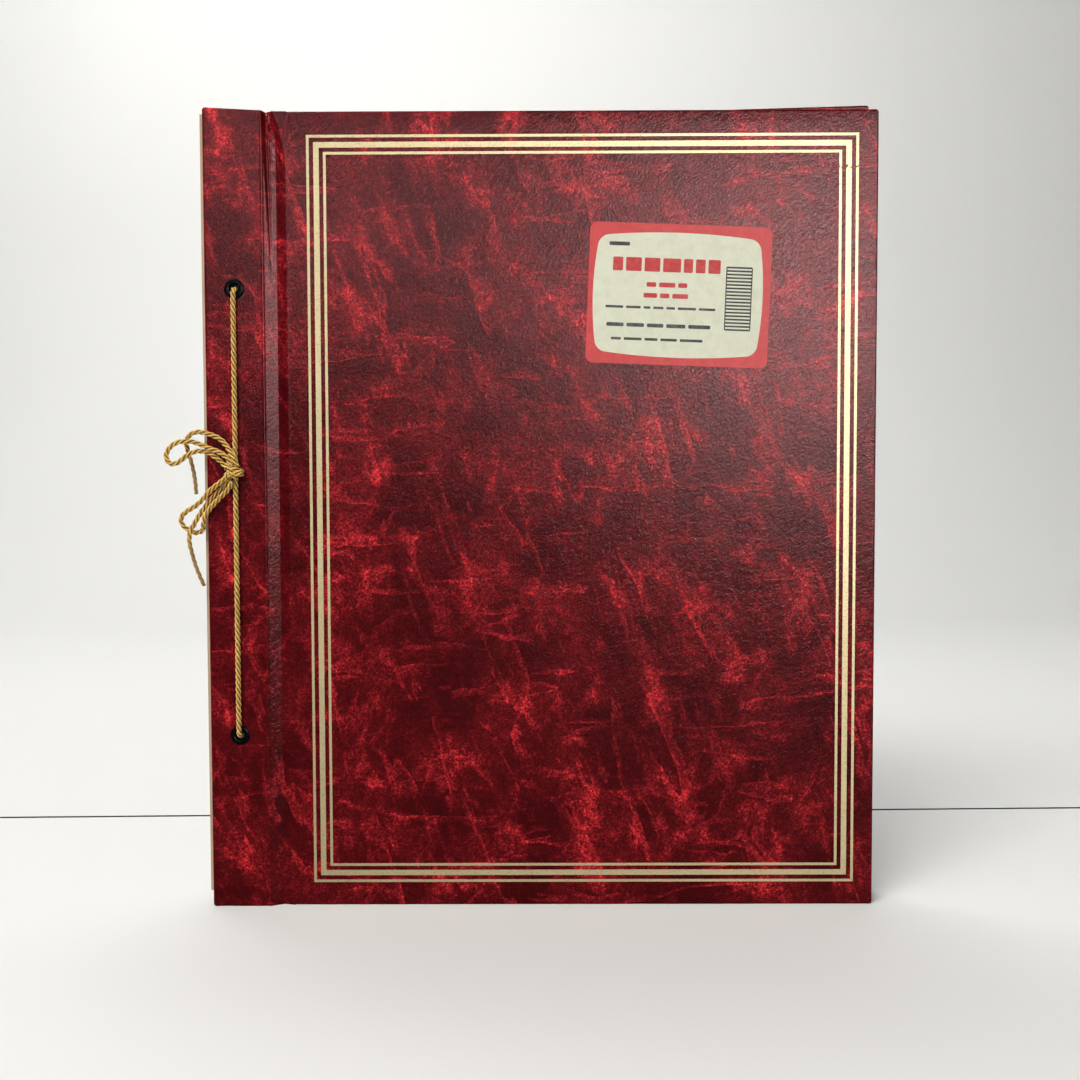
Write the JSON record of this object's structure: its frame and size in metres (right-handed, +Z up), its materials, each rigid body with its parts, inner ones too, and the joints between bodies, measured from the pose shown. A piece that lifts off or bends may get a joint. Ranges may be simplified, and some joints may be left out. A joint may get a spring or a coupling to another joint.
{
  "type": "scrapbook album",
  "caption": "Post-bound scrapbook album with hinged leatherette covers, a laced stub binding tied in a bow, and loose sheets that fan open.",
  "frame": {"origin": "middle of the bottom edge of the closed album, standing upright", "axes": "+Z up along the binding edge, -Y out of the front cover, -X towards the binding edge"},
  "size_m": [0.3235, 0.0322, 0.37],
  "materials": {
    "leatherette": "semi-gloss mottled dark red leatherette",
    "cover_board": "grey-brown board",
    "lining_paper": "matte cream lining paper",
    "sheet_paper": "matte aged cream sheet",
    "black_enamel": "glossy black enamel",
    "gilt_foil": "pressed gilt foil",
    "label_paper": "printed semi-gloss label",
    "twisted_cord": "twisted gold rayon cord"
  },
  "bodies": {
    "binding": {"front_stub_board": "cover_board", "front_stub_cover": "leatherette", "front_stub_lining": "lining_paper", "back_stub_board": "cover_board", "back_stub_cover": "leatherette", "back_stub_lining": "lining_paper", "sheet_stubs": "sheet_paper", "front_upper_eyelet": "black_enamel", "front_lower_eyelet": "black_enamel", "back_upper_eyelet": "black_enamel", "back_lower_eyelet": "black_enamel", "lacing_cord": "twisted_cord", "bow_knot": "twisted_cord", "bow_upper_loop": "twisted_cord", "bow_lower_loop": "twisted_cord", "bow_upper_tail": "twisted_cord", "bow_lower_tail": "twisted_cord"},
    "front_cover": {"front_panel_board": "cover_board", "front_panel_cover": "leatherette", "front_panel_lining": "lining_paper", "gold_frame": "gilt_foil", "label": "label_paper"},
    "back_cover": {"back_panel_board": "cover_board", "back_panel_cover": "leatherette", "back_panel_lining": "lining_paper"},
    "sheet_01": {"sheet_01": "sheet_paper"},
    "sheet_02": {"sheet_02": "sheet_paper"},
    "sheet_03": {"sheet_03": "sheet_paper"},
    "sheet_04": {"sheet_04": "sheet_paper"},
    "sheet_05": {"sheet_05": "sheet_paper"},
    "sheet_06": {"sheet_06": "sheet_paper"},
    "sheet_07": {"sheet_07": "sheet_paper"},
    "sheet_08": {"sheet_08": "sheet_paper"},
    "sheet_09": {"sheet_09": "sheet_paper"},
    "sheet_10": {"sheet_10": "sheet_paper"},
    "sheet_11": {"sheet_11": "sheet_paper"},
    "sheet_12": {"sheet_12": "sheet_paper"},
    "sheet_13": {"sheet_13": "sheet_paper"},
    "sheet_14": {"sheet_14": "sheet_paper"},
    "sheet_15": {"sheet_15": "sheet_paper"},
    "sheet_16": {"sheet_16": "sheet_paper"},
    "sheet_17": {"sheet_17": "sheet_paper"},
    "sheet_18": {"sheet_18": "sheet_paper"},
    "sheet_19": {"sheet_19": "sheet_paper"},
    "sheet_20": {"sheet_20": "sheet_paper"},
    "sheet_21": {"sheet_21": "sheet_paper"},
    "sheet_22": {"sheet_22": "sheet_paper"},
    "sheet_23": {"sheet_23": "sheet_paper"},
    "sheet_24": {"sheet_24": "sheet_paper"},
    "sheet_25": {"sheet_25": "sheet_paper"},
    "sheet_26": {"sheet_26": "sheet_paper"},
    "sheet_27": {"sheet_27": "sheet_paper"},
    "sheet_28": {"sheet_28": "sheet_paper"},
    "sheet_29": {"sheet_29": "sheet_paper"},
    "sheet_30": {"sheet_30": "sheet_paper"},
    "sheet_31": {"sheet_31": "sheet_paper"},
    "sheet_32": {"sheet_32": "sheet_paper"}
  },
  "joints": [
    {"name": "front_cover_hinge", "type": "hinge", "parent": "binding", "child": "front_cover", "pos_m": [-0.11915, -0.00929, 0.1815], "axis": [0, 0, -1], "range_deg": [0, 150]},
    {"name": "back_cover_hinge", "type": "hinge", "parent": "binding", "child": "back_cover", "pos_m": [-0.11915, 0.00929, 0.1815], "axis": [0, 0, 1], "range_deg": [0, 150]},
    {"name": "sheet_01_hinge", "type": "hinge", "parent": "binding", "child": "sheet_01", "pos_m": [-0.1149, -0.00605, 0.1815], "axis": [0, 0, -1], "range_deg": [0, 123.05]},
    {"name": "sheet_02_hinge", "type": "hinge", "parent": "binding", "child": "sheet_02", "pos_m": [-0.11433, -0.00566, 0.1815], "axis": [0, 0, -1], "range_deg": [0, 119.23]},
    {"name": "sheet_03_hinge", "type": "hinge", "parent": "binding", "child": "sheet_03", "pos_m": [-0.1138, -0.00526, 0.1815], "axis": [0, 0, -1], "range_deg": [0, 115.4]},
    {"name": "sheet_04_hinge", "type": "hinge", "parent": "binding", "child": "sheet_04", "pos_m": [-0.11331, -0.00487, 0.1815], "axis": [0, 0, -1], "range_deg": [0, 111.58]},
    {"name": "sheet_05_hinge", "type": "hinge", "parent": "binding", "child": "sheet_05", "pos_m": [-0.11286, -0.00449, 0.1815], "axis": [0, 0, -1], "range_deg": [0, 107.76]},
    {"name": "sheet_06_hinge", "type": "hinge", "parent": "binding", "child": "sheet_06", "pos_m": [-0.11245, -0.00409, 0.1815], "axis": [0, 0, -1], "range_deg": [0, 103.94]},
    {"name": "sheet_07_hinge", "type": "hinge", "parent": "binding", "child": "sheet_07", "pos_m": [-0.11206, -0.0037, 0.1815], "axis": [0, 0, -1], "range_deg": [0, 100.11]},
    {"name": "sheet_08_hinge", "type": "hinge", "parent": "binding", "child": "sheet_08", "pos_m": [-0.11171, -0.00331, 0.1815], "axis": [0, 0, -1], "range_deg": [0, 96.29]},
    {"name": "sheet_09_hinge", "type": "hinge", "parent": "binding", "child": "sheet_09", "pos_m": [-0.11138, -0.00293, 0.1815], "axis": [0, 0, -1], "range_deg": [0, 92.47]},
    {"name": "sheet_10_hinge", "type": "hinge", "parent": "binding", "child": "sheet_10", "pos_m": [-0.11108, -0.00253, 0.1815], "axis": [0, 0, -1], "range_deg": [0, 88.65]},
    {"name": "sheet_11_hinge", "type": "hinge", "parent": "binding", "child": "sheet_11", "pos_m": [-0.11081, -0.00215, 0.1815], "axis": [0, 0, -1], "range_deg": [0, 84.82]},
    {"name": "sheet_12_hinge", "type": "hinge", "parent": "binding", "child": "sheet_12", "pos_m": [-0.11055, -0.00176, 0.1815], "axis": [0, 0, -1], "range_deg": [0, 81]},
    {"name": "sheet_13_hinge", "type": "hinge", "parent": "binding", "child": "sheet_13", "pos_m": [-0.11032, -0.00136, 0.1815], "axis": [0, 0, -1], "range_deg": [0, 77.18]},
    {"name": "sheet_14_hinge", "type": "hinge", "parent": "binding", "child": "sheet_14", "pos_m": [-0.11012, -0.00097, 0.1815], "axis": [0, 0, -1], "range_deg": [0, 73.36]},
    {"name": "sheet_15_hinge", "type": "hinge", "parent": "binding", "child": "sheet_15", "pos_m": [-0.10993, -0.00059, 0.1815], "axis": [0, 0, -1], "range_deg": [0, 69.53]},
    {"name": "sheet_16_hinge", "type": "hinge", "parent": "binding", "child": "sheet_16", "pos_m": [-0.10977, -0.00019, 0.1815], "axis": [0, 0, -1], "range_deg": [0, 65.71]},
    {"name": "sheet_17_hinge", "type": "hinge", "parent": "binding", "child": "sheet_17", "pos_m": [-0.10963, 0.00019, 0.1815], "axis": [0, 0, -1], "range_deg": [0, 61.89]},
    {"name": "sheet_18_hinge", "type": "hinge", "parent": "binding", "child": "sheet_18", "pos_m": [-0.1095, 0.00059, 0.1815], "axis": [0, 0, -1], "range_deg": [0, 58.07]},
    {"name": "sheet_19_hinge", "type": "hinge", "parent": "binding", "child": "sheet_19", "pos_m": [-0.1094, 0.00097, 0.1815], "axis": [0, 0, -1], "range_deg": [0, 54.24]},
    {"name": "sheet_20_hinge", "type": "hinge", "parent": "binding", "child": "sheet_20", "pos_m": [-0.10932, 0.00136, 0.1815], "axis": [0, 0, -1], "range_deg": [0, 50.42]},
    {"name": "sheet_21_hinge", "type": "hinge", "parent": "binding", "child": "sheet_21", "pos_m": [-0.10927, 0.00176, 0.1815], "axis": [0, 0, -1], "range_deg": [0, 46.6]},
    {"name": "sheet_22_hinge", "type": "hinge", "parent": "binding", "child": "sheet_22", "pos_m": [-0.10923, 0.00215, 0.1815], "axis": [0, 0, -1], "range_deg": [0, 42.78]},
    {"name": "sheet_23_hinge", "type": "hinge", "parent": "binding", "child": "sheet_23", "pos_m": [-0.10922, 0.00253, 0.1815], "axis": [0, 0, -1], "range_deg": [0, 38.95]},
    {"name": "sheet_24_hinge", "type": "hinge", "parent": "binding", "child": "sheet_24", "pos_m": [-0.10922, 0.00293, 0.1815], "axis": [0, 0, -1], "range_deg": [0, 35.13]},
    {"name": "sheet_25_hinge", "type": "hinge", "parent": "binding", "child": "sheet_25", "pos_m": [-0.10922, 0.00331, 0.1815], "axis": [0, 0, -1], "range_deg": [0, 31.31]},
    {"name": "sheet_26_hinge", "type": "hinge", "parent": "binding", "child": "sheet_26", "pos_m": [-0.10922, 0.0037, 0.1815], "axis": [0, 0, -1], "range_deg": [0, 27.49]},
    {"name": "sheet_27_hinge", "type": "hinge", "parent": "binding", "child": "sheet_27", "pos_m": [-0.10922, 0.00409, 0.1815], "axis": [0, 0, -1], "range_deg": [0, 23.66]},
    {"name": "sheet_28_hinge", "type": "hinge", "parent": "binding", "child": "sheet_28", "pos_m": [-0.10922, 0.00449, 0.1815], "axis": [0, 0, -1], "range_deg": [0, 19.84]},
    {"name": "sheet_29_hinge", "type": "hinge", "parent": "binding", "child": "sheet_29", "pos_m": [-0.10922, 0.00487, 0.1815], "axis": [0, 0, -1], "range_deg": [0, 16.02]},
    {"name": "sheet_30_hinge", "type": "hinge", "parent": "binding", "child": "sheet_30", "pos_m": [-0.10922, 0.00526, 0.1815], "axis": [0, 0, -1], "range_deg": [0, 12.2]},
    {"name": "sheet_31_hinge", "type": "hinge", "parent": "binding", "child": "sheet_31", "pos_m": [-0.10922, 0.00566, 0.1815], "axis": [0, 0, -1], "range_deg": [0, 8.37]},
    {"name": "sheet_32_hinge", "type": "hinge", "parent": "binding", "child": "sheet_32", "pos_m": [-0.10922, 0.00605, 0.1815], "axis": [0, 0, -1], "range_deg": [0, 4.55]}
  ],
  "couplings": [
    {"joint": "sheet_01_hinge", "follows": "front_cover_hinge", "ratio": 0.82},
    {"joint": "sheet_02_hinge", "follows": "front_cover_hinge", "ratio": 0.79452},
    {"joint": "sheet_03_hinge", "follows": "front_cover_hinge", "ratio": 0.76903},
    {"joint": "sheet_04_hinge", "follows": "front_cover_hinge", "ratio": 0.74355},
    {"joint": "sheet_05_hinge", "follows": "front_cover_hinge", "ratio": 0.71806},
    {"joint": "sheet_06_hinge", "follows": "front_cover_hinge", "ratio": 0.69258},
    {"joint": "sheet_07_hinge", "follows": "front_cover_hinge", "ratio": 0.6671},
    {"joint": "sheet_08_hinge", "follows": "front_cover_hinge", "ratio": 0.64161},
    {"joint": "sheet_09_hinge", "follows": "front_cover_hinge", "ratio": 0.61613},
    {"joint": "sheet_10_hinge", "follows": "front_cover_hinge", "ratio": 0.59065},
    {"joint": "sheet_11_hinge", "follows": "front_cover_hinge", "ratio": 0.56516},
    {"joint": "sheet_12_hinge", "follows": "front_cover_hinge", "ratio": 0.53968},
    {"joint": "sheet_13_hinge", "follows": "front_cover_hinge", "ratio": 0.51419},
    {"joint": "sheet_14_hinge", "follows": "front_cover_hinge", "ratio": 0.48871},
    {"joint": "sheet_15_hinge", "follows": "front_cover_hinge", "ratio": 0.46323},
    {"joint": "sheet_16_hinge", "follows": "front_cover_hinge", "ratio": 0.43774},
    {"joint": "sheet_17_hinge", "follows": "front_cover_hinge", "ratio": 0.41226},
    {"joint": "sheet_18_hinge", "follows": "front_cover_hinge", "ratio": 0.38677},
    {"joint": "sheet_19_hinge", "follows": "front_cover_hinge", "ratio": 0.36129},
    {"joint": "sheet_20_hinge", "follows": "front_cover_hinge", "ratio": 0.33581},
    {"joint": "sheet_21_hinge", "follows": "front_cover_hinge", "ratio": 0.31032},
    {"joint": "sheet_22_hinge", "follows": "front_cover_hinge", "ratio": 0.28484},
    {"joint": "sheet_23_hinge", "follows": "front_cover_hinge", "ratio": 0.25935},
    {"joint": "sheet_24_hinge", "follows": "front_cover_hinge", "ratio": 0.23387},
    {"joint": "sheet_25_hinge", "follows": "front_cover_hinge", "ratio": 0.20839},
    {"joint": "sheet_26_hinge", "follows": "front_cover_hinge", "ratio": 0.1829},
    {"joint": "sheet_27_hinge", "follows": "front_cover_hinge", "ratio": 0.15742},
    {"joint": "sheet_28_hinge", "follows": "front_cover_hinge", "ratio": 0.13194},
    {"joint": "sheet_29_hinge", "follows": "front_cover_hinge", "ratio": 0.10645},
    {"joint": "sheet_30_hinge", "follows": "front_cover_hinge", "ratio": 0.08097},
    {"joint": "sheet_31_hinge", "follows": "front_cover_hinge", "ratio": 0.05548},
    {"joint": "sheet_32_hinge", "follows": "front_cover_hinge", "ratio": 0.03}
  ]
}
